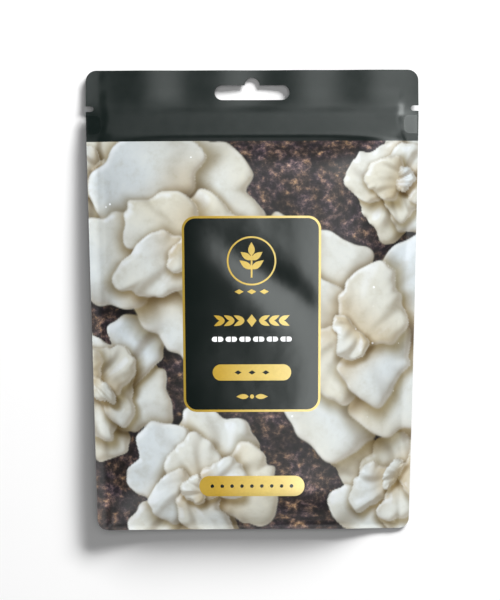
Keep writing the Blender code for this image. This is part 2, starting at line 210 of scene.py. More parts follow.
# Where each tone of a petal comes in: from what value, over what range, and how much at most.
# Then the shares of its mixes of tones.
DEEP, RIM = (-0.30, 1.15, 0.85), (0.86, 0.12, 0.45)
LIT, GLOWING = (0.28, 0.60, 1.0), (0.90, 0.12, 0.55)
OWN_TONE, UNLIT_TAN, RIM_GLOW = 0.6, 0.62, 0.5

# The petals' colours, and the tint of the shadow that each casts.
IVORY = np.array([0.56, 0.55, 0.465])
COOL = np.array([0.51, 0.565, 0.60])
WARM = np.array([0.42, 0.35, 0.225])
TAN = np.array([0.155, 0.115, 0.055])
GLOW = np.array([0.72, 0.77, 0.83])
SHADOW_TINT = np.array([0.46, 0.38, 0.24])

# The dark films' reflections are faintly green, and every film has slow ripples and fine grain.
GREENISH = (0.95, 1.0, 0.985)
RIPPLE_SCALE, RIPPLE_DEPTH = 95.0, 0.0012
GRAIN_SCALE, GRAIN_DEPTH = 2600.0, 0.00006
GRAIN_STRENGTH = 0.05
COAT_ROUGHNESS = 0.12

# The gold runs from deep on the left to pale on the right, over twice this width: a painted
# sheen, pale where the light falls from the right.
GOLD_SHEEN_HALF_WIDTH = 0.029

# Spacing of the mesh's points, how close a grid point may come to a line, and steps of curves.
PRINT_PITCH = 0.00058
HEADER_PITCH = 0.00085
BACK_PITCH = 0.0035
EDGE_PITCH = 0.00055
CLOSEST_SHARE, CLOSEST_PITCH = 0.62, PRINT_PITCH * 1.3
FIRST_ROW_SHARE = 0.43
LEAST_ARC_STEPS, LEAF_STEPS, BEAD_LINES = 5, 12, 4
SAME_POINT = 1e-7

# The angle, in degrees, from which an edge of the skin is sharp.
SHARP_FROM = 50

# The camera looks straight down at a frame this high at the seam's height, slightly turned.
FRAME_HEIGHT = 0.2522
CAMERA_OVER, CAMERA_TURN = (-0.0012, -0.00025), -0.0037
LENS = 150.0
SENSOR = 36.0

# Lights: place, size, power, the group that each lights, and whether it looks straight down.
LIGHTS = {
    "softbox": ((0.29, 0.15, 1.20), (0.50, 3.00), 19.8, "pouch", True),
    "key": ((1.00, 1.25, 1.45), (0.60, 0.60), 28.0, "pouch", False),
    "fill": ((-0.90, -1.30, 1.20), (1.00, 1.00), 16.0, "pouch", False),
    "floor_key": ((1.12, 1.66, 0.95), (1.30, 0.60), 104.0, "floor", False),
    "floor_fill": ((0.0, 0.0, 2.0), (2.0, 2.0), 12.0, "floor", True),
}
ROOM_LIGHT, SEEN_LIGHT = 0.05, 1.0
FLOOR_HALF_SIZE, FLOOR_DROP = 4.0, 0.0002


def smooth_step(share):
    """0 to 1 over shares from 0 to 1, level at both ends."""
    share = np.clip(share, 0.0, 1.0)
    return share * share * (3.0 - 2.0 * share)


def falling(share, power):
    """1 up to share 0, then ever steeper down through 0 at share 1 and below it."""
    return 1.0 - np.maximum(share, 0.0) ** power


def together(sides, ends):
    """The product of two falls, or the lower of them where either is below 0."""
    lower = np.minimum(sides, ends)
    return np.where(lower > 0.0, sides * ends, lower)


def half_width(y):
    """Half the pouch's width, even above the notches and narrowing below them to the foot."""
    share = np.maximum(0.0, (NOTCH_Y - y) / (NOTCH_Y - BOTTOM))
    return HEADER_HALF_WIDTH + (BOTTOM_HALF_WIDTH - HEADER_HALF_WIDTH) * share


def smooth_max(a, b, blend):
    """The larger of two heights, with the corner between them rounded off."""
    share = np.clip(0.5 + 0.5 * (a - b) / blend, 0.0, 1.0)
    return b + (a - b) * share + blend * share * (1.0 - share)


def foot_twist(x, y):
    """How far the seam is lifted at the foot's left corner, or lowered at its right corner."""
    lift = FOOT_LIFT * np.maximum(0.0, -x / BOTTOM_HALF_WIDTH) ** 3
    dip = FOOT_DIP * smooth_step((x - DIP_FROM_X) / (DIP_TO_X - DIP_FROM_X))
    return (lift - dip) * smooth_step((TWIST_FROM_Y - y) / (TWIST_FROM_Y - BOTTOM))


def seam_height(x, y):
    """The height where the films meet: bowed and waved in the header, twisted at the foot."""
    held = SEAM_AT_ENDS + SEAM_RISE * np.sin(math.pi * (TOP - y) / HEIGHT)
    bow = HEADER_BOW * smooth_step((y - PRINT_TOP) / (SLOT_Y - PRINT_TOP))
    wave = WAVE_HEIGHT * np.cos(2 * math.pi * (x - WAVE_CREST_X) / WAVE_LENGTH)
    sag = HEADER_SAG * (1.0 - smooth_step(np.abs(x) / SAG_REACH))
    in_header = smooth_step((y - ZIP_TOP) / (SLOT_Y - ZIP_TOP))
    return held - bow + (wave - sag) * in_header + foot_twist(x, y)


def pocket_depth(x, y):
    """How far a point lies inside the side seals' inner edges."""
    return half_width(y) - SIDE_SEAL - np.abs(x)


def pocket_share(x, y):
    """0 on the middle line, 1 at the side seals' inner edges."""
    return np.abs(x) / (half_width(y) - SIDE_SEAL)


def end_share(y, low, high):
    """0 or less between low and high, rising to 1 at the bottom seal and at the zip."""
    below = (low - y) / (low - BOTTOM - BOTTOM_SEAL)
    return np.where(y < low, below, (y - high) / (ZIP_BOTTOM - high))


def over_zip(y):
    """1 over the zip's flat ridge, down to 0 at the foot of the ramp on each side of it."""
    off_flat = np.abs(y - ZIP_Y) - ZIP_FLAT / 2
    return 1.0 - smooth_step(off_flat / np.where(y > ZIP_Y, ZIP_RAMP_ABOVE, ZIP_RAMP_BELOW))


def zip_relief(x, y):
    """The zip's low flat ridge. At the side seals it steps down to pads that slope to the edge."""
    from_edge = half_width(y) - np.abs(x)
    pad = np.clip((from_edge - PAD_FROM_EDGE) / (PAD_WIDTH - PAD_FROM_EDGE), 0.0, 1.0)
    ridge = smooth_step((from_edge - PAD_WIDTH) / PAD_STEP)
    return ZIP_SWELL * over_zip(y) * (PAD_SHARE * pad + (1.0 - PAD_SHARE) * ridge)


def seal_step(x, y):
    """The films part inside the side seals: softly in the header, at a fine bead below it."""
    in_header = smooth_step((y - ZIP_BOTTOM) / HEADER_FADE)
    width = PART_WIDTH + PART_WIDTH_IN_HEADER * in_header
    towards_zip = smooth_step((TOP_SEAL_Y - y) / TOP_SEAL_FADE)
    depth = pocket_depth(x, y) - (PAD_WIDTH - SIDE_SEAL) * over_zip(y)
    step = (PARTED + PARTED_IN_HEADER * in_header) * smooth_step(depth / width) * towards_zip
    bead = BEAD_HEIGHT * np.exp(-(pocket_depth(x, y) / BEAD_REACH) ** 2)
    return step + bead * smooth_step((PRINT_TOP - y) / BEAD_FADE)


def waves(along, lengths, phases):
    """A sum of sine waves with the given lengths and phases, between about -1 and 1."""
    total = sum(
        np.sin(2 * math.pi * along / length + phase) for length, phase in zip(lengths, phases)
    )
    return total / len(lengths)


def edge_waves(along, depth, family, shifts=(0.0, 0.0, 0.0)):
    """A family of waves along an edge, which start a little inside it and die out inwards."""
    lengths, phases, height, reach, start = family
    shifted = [phase + shift for phase, shift in zip(phases, shifts)]
    fade = np.exp(-np.maximum(depth, 0.0) / reach) * smooth_step(depth / start)
    return height * waves(along, lengths, shifted) * fade


def label_dish(x, y):
    """A faint hollow across the label's upper half, and a fainter crown across its lower half."""
    across = 0.5 - 0.5 * np.cos(2 * math.pi * x / DISH_WIDTH)
    share = DISH_ABOVE * smooth_step((y - DISH_FROM_Y) / DISH_FADE) - DISH_BELOW
    return DISH_DEPTH * across * share


def label_fold(x, y):
    """One soft valley that runs down across the label's upper half and deepens on its way."""
    dx, dy = x - FOLD_POINT[0], y - FOLD_POINT[1]
    along = FOLD_ALONG[0] * dx + FOLD_ALONG[1] * dy
    across = FOLD_ALONG[1] * dx - FOLD_ALONG[0] * dy
    reach = smooth_step((along - FOLD_ENDS[0]) / FOLD_FADE)
    reach = reach * (1.0 - smooth_step((along - FOLD_ENDS[1]) / FOLD_FADE))
    depth = FOLD_DEPTH + FOLD_DEEPER * smooth_step(along / FOLD_DEEPER_OVER)
    return -depth * np.exp(-(across / FOLD_BREADTH) ** 2) * reach


def creases(x, y):
    """Puckers along the edges, slow swells over the filling, and the label's dish and fold."""
    depth = pocket_depth(x, y)
    up = y - BOTTOM - BOTTOM_SEAL
    down = PRINT_TOP - y
    shift = np.where(x > 0, RIGHT_SIDE_SHIFT, 0.0)
    along_side = y + PUCKER_LEAN * np.abs(x)
    at_edges = edge_waves(along_side, depth, SIDE_PUCKERS, (shift, -shift, 0.0))
    at_edges = at_edges + edge_waves(x, up, FOOT_HEMS) + edge_waves(x, down, HEADER_NECKS)
    slow = sum(
        height * waves(way[0] * x + way[1] * y, lengths, phases)
        for height, way, lengths, phases in SLOW_SWELLS
    )
    within = smooth_step(depth / RELIEF_FADE) * smooth_step(up / RELIEF_FADE)
    within = within * smooth_step(down / RELIEF_FADE)
    return at_edges + (slow + label_dish(x, y) + label_fold(x, y)) * within


def front_height(x, y):
    """The height of the skin's printed front."""
    seam = seam_height(x, y) + EDGE_THICKNESS / 2
    sides = falling(pocket_share(x, y), FRONT_SIDE_POWER)
    ends = falling(end_share(y, FULL_FROM_Y, FULL_TO_Y), FRONT_END_POWER)
    dome = (THICKNESS - seam) * together(sides, ends)
    near_seal = 1.0 - smooth_step(pocket_depth(x, y) / CUT_REACH)
    cut = BLEND_CUT * near_seal * smooth_step((y - CUT_FROM_Y) / CUT_FADE)
    swell = smooth_max(dome, zip_relief(x, y), DOME_BLEND * (1.0 - cut))
    return seam + swell + seal_step(x, y) + creases(x, y)


def back_height(x, y):
    """The height of the skin's plain back."""
    seam = seam_height(x, y) - EDGE_THICKNESS / 2
    sides = falling((pocket_share(x, y) - FLAT_SHARE) / (1.0 - FLAT_SHARE), BACK_POWER)
    ends = falling(end_share(y, FLAT_FROM_Y, FLAT_TO_Y), BACK_POWER)
    return seam - np.maximum(seam * together(sides, ends), BACK_ZIP_SHARE * zip_relief(x, y))


def arc(centre, radius, start, end):
    """Points along an arc, angles in degrees, both ends included."""
    length = radius * math.radians(abs(end - start))
    steps = max(LEAST_ARC_STEPS, round(length / EDGE_PITCH))
    angles = np.radians(np.linspace(start, end, steps + 1))
    return [(centre[0] + radius * math.cos(a), centre[1] + radius * math.sin(a)) for a in angles]


def closed(points):
    """The loop with points added between far ones, so that no step is over the edge pitch."""
    loop = []
    for (ax, ay), (bx, by) in zip(points, points[1:] + points[:1]):
        distance = math.hypot(bx - ax, by - ay)
        if distance < SAME_POINT:
            continue
        steps = max(1, math.ceil(distance / EDGE_PITCH))
        loop += [(ax + (bx - ax) * i / steps, ay + (by - ay) * i / steps) for i in range(steps)]
    return loop


def notch(side):
    """A tear notch, from its lower lip to its upper lip."""
    radius = NOTCH_WIDTH / 2
    root = (HEADER_HALF_WIDTH - NOTCH_DEPTH + radius, NOTCH_Y)
    points = [(float(half_width(NOTCH_Y - radius)), NOTCH_Y - radius)]
    points += arc(root, radius, 270, 90)
    points += [(HEADER_HALF_WIDTH, NOTCH_Y + radius)]
    return [(side * x, y) for x, y in points]


def outline():
    """The pouch's edge, counterclockwise."""
    r = CORNER_RADIUS
    low_x = float(half_width(BOTTOM + r)) - r
    right = arc((low_x, BOTTOM + r), r, 270, 360)
    right += [(float(half_width(PRINT_TOP)), PRINT_TOP)] + notch(1)
    right += arc((HEADER_HALF_WIDTH - r, TOP - r), r, 0, 90)
    return closed(right + [(-x, y) for x, y in reversed(right)])


def seal_lines():
    """Lines along the side seals' inner edges, close enough together to carry the bead."""
    low, high = BOTTOM + BOTTOM_SEAL, PRINT_TOP - BEAD_TO_PRINT
    steps = round((high - low) / EDGE_PITCH)
    lines = []
    for side in (-1, 1):
        for i in range(-BEAD_LINES, BEAD_LINES + 1):
            depth = i * BEAD_REACH / 2
            line = []
            for step in range(steps + 1):
                y = low + (high - low) * step / steps
                line.append((side * float(half_width(y) - SIDE_SEAL - depth), y))
            lines.append(line)
    return lines


def hang_hole():
    """The hang hole's edge, counterclockwise."""
    end_x = (SLOT_LENGTH - SLOT_WIDTH) / 2
    points = arc((end_x, SLOT_Y), SLOT_WIDTH / 2, -90, 90)
    points += arc((0.0, SLOT_Y + SLOT_WIDTH / 2), CROWN_RADIUS, 0, 180)
    points += arc((-end_x, SLOT_Y), SLOT_WIDTH / 2, 90, 270)
    return closed(points)


def rounded_box(centre, size, radius):
    """A rectangle with round corners, counterclockwise."""
    dx, dy = size[0] / 2 - radius, size[1] / 2 - radius
    points = []
    for sx, sy, start in ((1, -1, 270), (1, 1, 0), (-1, 1, 90), (-1, -1, 180)):
        points += arc((centre[0] + sx * dx, centre[1] + sy * dy), radius, start, start + 90)
    return closed(points)


def ring(centre, radius):
    return closed(arc(centre, radius, 0, 360)[:-1])


def leaf(base, angle, length, width):
    """A pointed leaf from its base, at an angle in degrees."""
    turn = math.radians(angle)
    points = []
    for i in range(2 * LEAF_STEPS):
        share = min(i, 2 * LEAF_STEPS - i) / LEAF_STEPS
        side = 1 if i > LEAF_STEPS else -1
        along = length * share
        off = side * width / 2 * math.sin(math.pi * share ** LEAF_POWER)
        x = base[0] + along * math.cos(turn) - off * math.sin(turn)
        y = base[1] + along * math.sin(turn) + off * math.cos(turn)
        points.append((x, y))
    return closed(points)


def lozenge(centre, width, height):
    x, y = centre
    dx, dy = width / 2, height / 2
    return closed([(x + dx, y), (x, y + dy), (x - dx, y), (x, y - dy)])


def bar(start, end, width):
    """A thin straight bar with square ends."""
    dx, dy = end[0] - start[0], end[1] - start[1]
    length = math.hypot(dx, dy)
    ox, oy = -dy / length * width / 2, dx / length * width / 2
    return closed([
        (start[0] - ox, start[1] - oy), (end[0] - ox, end[1] - oy),
        (end[0] + ox, end[1] + oy), (start[0] + ox, start[1] + oy),
    ])


def emblem():
    """A sprig of leaves in a ring, over three lozenges. Gold loops, then the ring's dark inside."""
    x, y = LABEL_CENTRE[0], EMBLEM_Y
    gold = [ring((x, y), RING_RADIUS)]
    gold.append(bar((x, y - STEM_BELOW), (x, y + STEM_ABOVE), STEM_WIDTH))
    gold.append(leaf((x, y + TOP_LEAF[0]), 90, *TOP_LEAF[1:]))
    for height, length, width in SIDE_LEAVES:
        for side in (-1, 1):
            gold.append(leaf((x, y + height), 90 - side * LEAF_LEAN, length, width))
    for step in (-1, 0, 1):
        gold.append(lozenge((x + step * LOZENGE_PITCH, y - LOZENGE_DROP), *LOZENGE_SIZE))
    return gold, ring((x, y), RING_RADIUS - RING_WIDTH)


def chevron_row():
    """Chevrons of two leaves each, which run out to both sides of a lozenge."""
    middle_x, y = LABEL_CENTRE[0], CHEVRON_Y
    loops = [lozenge((middle_x, y), *CHEVRON_LOZENGE)]
    for side in (-1, 1):
        outwards = 0 if side > 0 else 180
        for i in range(3):
            x = middle_x + side * (CHEVRON_FIRST + CHEVRON_PITCH * i)
            loops.append(leaf((x, y), outwards - CHEVRON_LEAN, *CHEVRON_LEAF))
            loops.append(leaf((x, y), outwards + CHEVRON_LEAN, *CHEVRON_LEAF))
    return loops


def capsule_row():
    """A row of small capsules, each with a slit between its two halves."""
    middle_x, y = LABEL_CENTRE[0], CAPSULES_Y
    radius = CAPSULE_WIDTH / 2
    half = arc(((CAPSULE_LENGTH - CAPSULE_WIDTH) / 2, 0.0), radius, -90, 90)
    half += [(CAPSULE_SLIT / 2, radius), (CAPSULE_SLIT / 2, -radius)]
    loops = []
    for i in range(CAPSULE_COUNT):
        x = middle_x + (i - (CAPSULE_COUNT - 1) / 2) * CAPSULE_PITCH
        loops.append(closed([(x + px, y + py) for px, py in half]))
        loops.append(closed([(x - px, y + py) for px, py in reversed(half)]))
    return loops


def small_spray():
    """Two small leaves that run out to both sides of a dot, at the label's foot."""
    x, y = LABEL_CENTRE[0], SPRAY_Y
    left = leaf((x - SPRAY_GAP, y), 180, *SPRAY_LEAF)
    right = leaf((x + SPRAY_GAP, y), 0, *SPRAY_LEAF)
    return [left, right, ring((x, y), SPRAY_DOT)]


def warped(loop):
    """The loop drawn in a little towards the foot, as the print follows the pouch's sides."""
    return [(x * (1 + LABEL_TAPER * (y - LABEL_CENTRE[1])), y) for x, y in loop]


def label_shapes():
    """Loops and the material each gives to what lies inside it, later ones over earlier ones."""
    x = LABEL_CENTRE[0]
    outer = rounded_box(LABEL_CENTRE, LABEL_SIZE, LABEL_RADIUS)
    inner_size = (LABEL_SIZE[0] - 2 * BORDER, LABEL_SIZE[1] - 2 * BORDER)
    inner = rounded_box(LABEL_CENTRE, inner_size, LABEL_RADIUS - BORDER)
    gold_loops, ring_inside = emblem()
    shapes = [(outer, "gold"), (inner, "label"), (gold_loops[0], "gold"), (ring_inside, "label")]
    shapes += [(loop, "gold") for loop in gold_loops[1:]]
    shapes += [(loop, "gold") for loop in chevron_row()]
    shapes += [(loop, "white") for loop in capsule_row()]
    shapes.append((rounded_box((x, PILL_Y), PILL_SIZE, PILL_RADIUS), "gold"))
    for i in (-1, 0, 1):
        shapes.append((lozenge((x + i * PILL_PITCH, PILL_Y), *PILL_LOZENGE), "label"))
    shapes += [(loop, "gold") for loop in small_spray()]
    shapes.append((rounded_box(LOW_PILL, LOW_PILL_SIZE, LOW_PILL_RADIUS), "gold"))
    for i in range(-DOTS_EACH_SIDE, DOTS_EACH_SIDE + 1):
        middle = (LOW_PILL[0] + i * DOT_PITCH, LOW_PILL[1])
        shapes.append((ring(middle, DOT_RADIUS), "label"))
    return [(warped(loop), name) for loop, name in shapes]


def pad_shapes():
    """The pressed pad at each end of the zip, round at its inner corners."""
    outer_x = float(half_width(ZIP_BOTTOM)) - PAD_TO_EDGE
    middle_x = float(half_width(ZIP_Y)) - PAD_WIDTH + PAD_RADIUS
    points = [(outer_x, ZIP_BOTTOM), (outer_x, ZIP_TOP)]
    points += arc((middle_x, ZIP_TOP - PAD_RADIUS), PAD_RADIUS, 90, 180)
    points += arc((middle_x, ZIP_BOTTOM + PAD_RADIUS), PAD_RADIUS, 180, 270)
    pad = closed(points)
    return [([(side * x, y) for x, y in pad], "pressed") for side in (-1, 1)]


def inside(x, y, loop):
    """True for each point that lies inside the closed loop."""
    loop = np.array(loop)
    low, high = loop.min(axis=0), loop.max(axis=0)
    found = np.zeros(len(x), bool)
    near = np.flatnonzero((x > low[0]) & (x < high[0]) & (y > low[1]) & (y < high[1]))
    px, py = x[near], y[near]
    crossed = np.zeros(len(near), bool)
    for (ax, ay), (bx, by) in zip(loop, np.roll(loop, -1, axis=0)):
        if ay != by:
            meets = (ay > py) != (by > py)
            crossed ^= meets & (px < ax + (bx - ax) * (py - ay) / (by - ay))
    found[near] = crossed
    return found


def grid(low_y, high_y, pitch):
    """Points in staggered rows over the pouch between two heights."""
    rows = np.arange(low_y + pitch * FIRST_ROW_SHARE, high_y, pitch * math.sqrt(0.75))
    columns = np.arange(-HEADER_HALF_WIDTH, HEADER_HALF_WIDTH, pitch)
    x, y = np.meshgrid(columns, rows)
    x = x + (np.arange(len(rows)) % 2)[:, None] * pitch / 2
    x, y = x.ravel(), y.ravel()
    kept = np.abs(x) < half_width(y)
    return np.stack([x[kept], y[kept]], axis=1)


def triangulate(loops, lines, fields):
    """Points and triangles of the pouch laid flat, with loops and lines as edges of triangles.

    The first loop is the pouch's edge and the second a hole in it. Each of the fields is a strip
    of grid points, with its low end, its high end and its pitch.
    """
    points, edges = [], []
    for loop in loops:
        start = len(points)
        points += loop
        edges += [(start + i, start + (i + 1) % len(loop)) for i in range(len(loop))]
    for line in lines:
        start = len(points)
        points += line
        edges += [(start + i, start + i + 1) for i in range(len(line) - 1)]
    tree = KDTree(len(points))
    for i, (x, y) in enumerate(points):
        tree.insert((x, y, 0.0), i)
    tree.balance()
    for low_y, high_y, pitch in fields:
        closest = CLOSEST_SHARE * min(pitch, CLOSEST_PITCH)
        for x, y in grid(low_y, high_y, pitch):
            if tree.find((x, y, 0.0))[2] > closest:
                points.append((x, y))
    result = delaunay_2d_cdt(points, edges, [], 0, SAME_POINT, False)
    flat = np.array([tuple(p) for p in result[0]])
    triangles = np.array(result[2])
    middle = flat[triangles].mean(axis=1)
    kept = inside(middle[:, 0], middle[:, 1], loops[0])
    kept &= ~inside(middle[:, 0], middle[:, 1], loops[1])
    return flat, triangles[kept]


def make_petals(draw):
    """Frilled petals, back to front."""
    petals = []
    for x, y, reach in ROSETTES:
        turn = draw.uniform(0, 2 * math.pi)
        for away, size, count in PETAL_RINGS:
            for i in range(count):
                heading = turn + 2 * math.pi * (i + draw.uniform(*HEADING_SPREAD)) / count
                out = reach * away * draw.uniform(*AWAY_SPREAD)
                petals.append(Petal(
                    x=x + out * math.cos(heading),
                    y=y + out * math.sin(heading),
                    heading=heading,
                    length=reach * size * draw.uniform(*LENGTH_SPREAD),
                    breadth=reach * size * draw.uniform(*BREADTH_SPREAD),
                    wobble=draw.uniform(0, 2 * math.pi, 6),
                    tone=draw.uniform(0.0, 1.0),
                ))
            turn += RING_TURN
    return petals


def petal_distance(x, y, petal):
    """0 at the petal's middle, 1 at its wavy margin and more beyond, then along and across it."""
    ahead, aside = math.cos(petal.heading), math.sin(petal.heading)
    along = ((x - petal.x) * ahead + (y - petal.y) * aside) / petal.length
    across = ((y - petal.y) * ahead - (x - petal.x) * aside) / petal.breadth
    around = np.arctan2(across, along)
    margin = 1.0
    for (turns, depth), phase in zip(MARGIN_WAVES, petal.wobble):
        margin = margin + depth * np.sin(turns * around + phase)
    return np.hypot(along, across) / margin, along, across


def petal_height(x, y, petal):
    """The petal's relief: a plump edge, a hollow foot and folds that fan out to the margin."""
    distance, along, across = petal_distance(x, y, petal)
    body = PETAL_BODY * np.sqrt(np.clip(1.0 - distance ** BODY_POWER, 0.0, 1.0))
    fan = np.arctan2(across, along - FAN_FROM)
    folds = sum(
        size * np.sin(turns * fan + petal.wobble[phase]) for turns, size, phase in FAN_FOLDS
    )
    from_hollow = (along - HOLLOW_AT) ** 2 + across ** 2
    hollow = -PETAL_HOLLOW * np.exp(-from_hollow / HOLLOW_SPREAD)
    return body + PETAL_FOLDS * folds * smooth_step((along - FOLDS_FROM) / FOLDS_OVER) + hollow


def petal_light(x, y, petal):
    """How brightly the petal's relief is lit, from its slopes."""
    middle = petal_height(x, y, petal)
    slope_x = (petal_height(x + SLOPE_STEP, y, petal) - middle) / SLOPE_STEP
    slope_y = (petal_height(x, y + SLOPE_STEP, petal) - middle) / SLOPE_STEP
    steep = np.sqrt(1.0 + slope_x ** 2 + slope_y ** 2)
    from_x, from_y, from_z = PAINTED_LIGHT
    return np.clip((from_z - from_x * slope_x - from_y * slope_y) / steep, 0.0, BRIGHTEST)


def blended(a, b, share):
    """a where the share is 0, b where it is 1."""
    return a * (1 - share) + b * share


def come_in(value, start, over, most):
    """A column of shares that rise from 0 at the start value to most."""
    return smooth_step((value - start) / over)[:, None] * most


def petal_paint(x, y, petal, distance, along):
    """The petal's colours: warm at its foot, pale at its rim, and darker where it is unlit."""
    lit = petal_light(x, y, petal)
    turn = x / DRIFT_LENGTHS[0] + y / DRIFT_LENGTHS[1] + petal.wobble[0]
    drift = smooth_step(0.5 + 0.5 * np.sin(turn))[:, None]
    tone = petal.tone * OWN_TONE + (1 - OWN_TONE) * drift
    base = blended(IVORY, COOL, tone)
    base = blended(base, WARM, come_in(-along, *DEEP))
    base = blended(base, blended(IVORY, GLOW, RIM_GLOW), come_in(distance, *RIM))
    painted = blended(blended(base, TAN, UNLIT_TAN), base, come_in(lit, *LIT))
    return blended(painted, GLOW, come_in(lit, *GLOWING))


def stirred(x, y):
    """The points moved by soft waves, which stir all the shapes that are painted there."""
    stir_x = STIR * np.sin(y / STIR_OF_X[0] + STIR_OF_X[1])
    stir_y = STIR * np.sin(x / STIR_OF_Y[0] + STIR_OF_Y[1])
    fine_x = FINE_STIR * np.sin(x / FINE_OF_X[0] + y / FINE_OF_X[1])
    fine_y = FINE_STIR * np.sin(x / FINE_OF_Y[0] + y / FINE_OF_Y[1])
    return x + stir_x + fine_x, y + stir_y + fine_y


def paint_picture(x, y):
    """Colour and cover of the petals at each point, and the light on the dark ground.

    Cover is 0 where the ground shows.
    """
    draw = np.random.default_rng(SEED)
    stirred_x, stirred_y = stirred(x, y)
    colour = np.zeros((len(x), 3))
    cover = np.zeros(len(x))
    ground_light = np.ones(len(x))
    for petal in make_petals(draw):
        reach = PETAL_REACH * max(petal.length, petal.breadth)
        near = np.flatnonzero(np.hypot(stirred_x - petal.x, stirred_y - petal.y) < reach)
        if not len(near):
            continue
        px, py = stirred_x[near], stirred_y[near]
        shadow = petal_distance(px + SHADOW_SHIFT[0], py + SHADOW_SHIFT[1], petal)[0]
        share = smooth_step((SHADOW_REACH - shadow) / SHADOW_FADE)
        colour[near] *= 1.0 - share[:, None] * (1.0 - SHADOW_TINT)
        ground_light[near] *= 1.0 - GROUND_SHADE * share
        distance, along, _ = petal_distance(px, py, petal)
        painted = petal_paint(px, py, petal, distance, along)
        solid = smooth_step((1.0 + MARGIN_FADE / 2 - distance) / MARGIN_FADE)
        colour[near] = blended(colour[near], painted, solid[:, None])
        cover[near] = np.maximum(cover[near], solid)
    return np.clip(colour, 0.0, 1.0), cover, ground_light


def node(tree, kind, **values):
    """A shader node with its properties and input values set."""
    made = tree.nodes.new(kind)
    for name, value in values.items():
        if name in made.inputs:
            made.inputs[name].default_value = value
        else:
            setattr(made, name, value)
    return made


def new_material(name, roughness, metallic=0.0, coat=0.0, gloss=0.5, tint=(1.0, 1.0, 1.0)):
    """A material and its tree, object coordinates and shader."""
    made = bpy.data.materials.new(name)
    made.use_nodes = True
    tree = made.node_tree
    shader = tree.nodes["Principled BSDF"]
    shader.inputs["Roughness"].default_value = roughness
    shader.inputs["Metallic"].default_value = metallic
    shader.inputs["Coat Weight"].default_value = coat
    shader.inputs["Coat Roughness"].default_value = COAT_ROUGHNESS
    shader.inputs["Specular IOR Level"].default_value = gloss
    shader.inputs["Specular Tint"].default_value = (*tint, 1.0)
    where = tree.nodes.new("ShaderNodeTexCoord").outputs["Object"]
    return made, tree, where, shader


def noise(tree, where, scale, detail=3.0, rough=0.5):
    """A noise value at the given coordinates."""
    made = node(tree, "ShaderNodeTexNoise", Scale=scale, Detail=detail, Roughness=rough)
    tree.links.new(where, made.inputs["Vector"])
    return made.outputs["Fac"]


def ramp(tree, value, stops):
    """A colour ramp over a value. stops are (place, colour)."""
    made = tree.nodes.new("ShaderNodeValToRGB")
    elements = made.color_ramp.elements
    while len(elements) < len(stops):
        elements.new(0.5)
    for element, (place, colour) in zip(elements, stops):
        element.position = place
        element.color = (*colour, 1.0)
    tree.links.new(value, made.inputs["Fac"])
    return made.outputs["Color"]


def mix(tree, share, a, b, blend="MIX"):
    """A mix of two colours. share, a and b are sockets or values."""
    made = node(tree, "ShaderNodeMix", data_type="RGBA", blend_type=blend)
    for socket, value in ((made.inputs[0], share), (made.inputs[6], a), (made.inputs[7], b)):
        if isinstance(value, bpy.types.NodeSocket):
            tree.links.new(value, socket)
        else:
            socket.default_value = value
    return made.outputs[2]


def span(tree, value, low, high, to_low=0.0, to_high=1.0):
    """The value carried from one range to another."""
    made = node(tree, "ShaderNodeMapRange")
    made.inputs["From Min"].default_value = low
    made.inputs["From Max"].default_value = high
    made.inputs["To Min"].default_value = to_low
    made.inputs["To Max"].default_value = to_high
    tree.links.new(value, made.inputs["Value"])
    return made.outputs["Result"]


def two_tone(tree, where, shader, scale, dark, light, detail=3.0):
    """Base colour that drifts between two close tones."""
    tone = ramp(tree, noise(tree, where, scale, detail), ((0.3, dark), (0.7, light)))
    tree.links.new(tone, shader.inputs["Base Color"])


def film_grain(tree, where, shader):
    """The faint unevenness of a laminated film: slow ripples and a fine grain."""
    ripples = noise(tree, where, RIPPLE_SCALE, 2.0)
    grain = noise(tree, where, GRAIN_SCALE, 2.0)
    slow = node(tree, "ShaderNodeBump", Strength=GRAIN_STRENGTH, Distance=RIPPLE_DEPTH)
    fine = node(tree, "ShaderNodeBump", Strength=GRAIN_STRENGTH, Distance=GRAIN_DEPTH)
    tree.links.new(ripples, slow.inputs["Height"])
    tree.links.new(grain, fine.inputs["Height"])
    tree.links.new(slow.outputs["Normal"], fine.inputs["Normal"])
    tree.links.new(fine.outputs["Normal"], shader.inputs["Normal"])


def rough_spread(tree, where, shader, low, high):
    """Roughness that drifts a little over the surface."""
    drift = span(tree, noise(tree, where, 60.0), 0.3, 0.7, low, high)
    tree.links.new(drift, shader.inputs["Roughness"])


def green_film(name, roughness, spread, gloss, scale, dark, light):
    """A dark film with a faintly green gloss. spread is its lowest and highest roughness."""
    made, tree, where, shader = new_material(name, roughness, gloss=gloss, tint=GREENISH)
    two_tone(tree, where, shader, scale, dark, light)
    rough_spread(tree, where, shader, *spread)
    film_grain(tree, where, shader)
    return made


def dark_film():
    """The film of the header, the edges and the back."""
    dark, light = (0.005, 0.009, 0.008), (0.008, 0.012, 0.011)
    return green_film("dark_film", 0.31, (0.28, 0.33), 0.36, 240.0, dark, light)


def pressed_film():
    """The film over the zip's ends, which the sealing bar has made smoother."""
    dark, light = (0.004, 0.008, 0.007), (0.006, 0.010, 0.009)
    return green_film("pressed_film", 0.20, (0.18, 0.22), 0.62, 240.0, dark, light)


def label_ink():
    """The label's glossy black."""
    dark, light = (0.002, 0.005, 0.004), (0.003, 0.006, 0.005)
    return green_film("label_ink", 0.15, (0.14, 0.17), 0.55, 180.0, dark, light)


